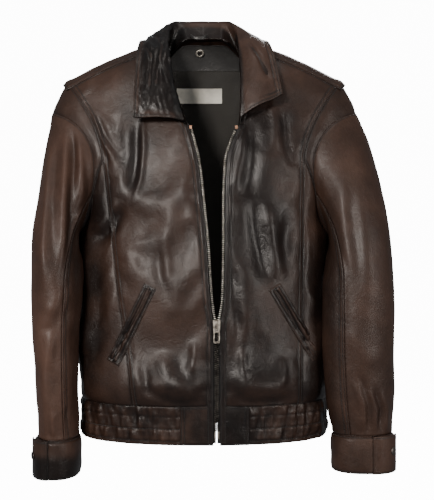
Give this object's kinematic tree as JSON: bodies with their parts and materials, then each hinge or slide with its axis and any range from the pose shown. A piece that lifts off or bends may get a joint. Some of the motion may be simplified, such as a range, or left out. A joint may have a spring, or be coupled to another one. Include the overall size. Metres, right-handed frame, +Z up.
{
  "type": "leather riding jacket",
  "caption": "Waist-length leather riding jacket with a turn-down collar, front zip, slanted welt pockets, snap cuffs and a gathered waistband.",
  "frame": {"origin": "the hanger's seat: inside the neck, level with where a hanger carries the shoulders, in the jacket's middle plane", "axes": "+Z up, +X to the wearer's left, front facing -Y"},
  "size_m": [0.5708, 0.1909, 0.7403],
  "materials": {
    "leather": "waxed dark brown leather, worn to near black on raised areas",
    "lining": "dark olive-brown cotton lining",
    "label": "blank woven label",
    "zip_tape": "black woven tape",
    "elastic": "black elastic webbing",
    "metal": "antique silver-plated brass, tarnished"
  },
  "bodies": {
    "jacket": {"front_right": "leather", "front_left": "leather", "front_side_right": "leather", "front_side_left": "leather", "back_centre": "leather", "back_yoke": "leather", "back_side_right": "leather", "back_side_left": "leather", "shoulder_strap_right": "leather", "shoulder_strap_left": "leather", "waist_tab_right": "leather", "waist_tab_left": "leather", "waistband_right": "leather", "waistband_left": "leather", "waistband_back": "leather", "waist_elastic": "elastic", "lining_front_right": "lining", "lining_front_left": "lining", "lining_back": "lining", "front_facing_right": "leather", "front_facing_left": "leather", "neck_facing": "leather", "lining_snap_ring": "metal", "lining_snap_socket": "metal", "label": "label", "collar_stand": "leather", "under_collar": "leather", "collar_upper": "leather", "pocket_welt_right": "leather", "pocket_welt_left": "leather", "pocket_bag_right": "lining", "pocket_bag_left": "lining", "zip_chain_right": "metal", "zip_chain_left": "metal", "zip_tape_right": "zip_tape", "zip_tape_left": "zip_tape", "zip_stop_right": "metal", "zip_stop_left": "metal", "zip_pin": "metal", "zip_box": "metal", "armhole_band_right": "leather", "armhole_band_left": "leather"},
    "zip_slider": {"zip_slider": "metal"},
    "zip_pull": {"zip_pull": "metal"},
    "hang_loop": {"hang_loop": "leather"},
    "sleeve_right": {"sleeve_top_right": "leather", "sleeve_under_right": "leather", "sleeve_lining_right": "lining", "cuff_band_right": "leather", "snap_stud_right": "metal"},
    "cuff_tab_right": {"cuff_tab_right": "leather", "snap_cap_right": "metal"},
    "sleeve_left": {"sleeve_top_left": "leather", "sleeve_under_left": "leather", "sleeve_lining_left": "lining", "cuff_band_left": "leather", "snap_stud_left": "metal"},
    "cuff_tab_left": {"cuff_tab_left": "leather", "snap_cap_left": "metal"}
  },
  "joints": [
    {"name": "zip_slider_travel", "type": "slide", "parent": "jacket", "child": "zip_slider", "axis": [0, 0, 1], "range_m": [-0.145, 0]},
    {"name": "zip_pull_swing", "type": "hinge", "parent": "zip_slider", "child": "zip_pull", "pos_m": [0.0205, -0.09895, -0.4194], "axis": [-1, 0, 0], "range_deg": [0, 150]},
    {"name": "hang_loop_swing", "type": "hinge", "parent": "jacket", "child": "hang_loop", "pos_m": [-0.009, 0.0075, 0.0458], "axis": [-1, 0, 0], "range_deg": [0, 90]},
    {"name": "sleeve_left_swing", "type": "hinge", "parent": "jacket", "child": "sleeve_left", "pos_m": [0.235, 0, -0.06], "axis": [0, -1, 0], "range_deg": [0, 40]},
    {"name": "sleeve_right_swing", "type": "hinge", "parent": "jacket", "child": "sleeve_right", "pos_m": [-0.235, 0, -0.06], "axis": [0, 1, 0], "range_deg": [0, 40]},
    {"name": "cuff_tab_left_open", "type": "hinge", "parent": "sleeve_left", "child": "cuff_tab_left", "pos_m": [0.2639, -0.0902, -0.622], "axis": [0, 0, -1], "range_deg": [0, 75]},
    {"name": "cuff_tab_right_open", "type": "hinge", "parent": "sleeve_right", "child": "cuff_tab_right", "pos_m": [-0.2393, -0.0989, -0.628], "axis": [0, 0, 1], "range_deg": [0, 75]}
  ]
}
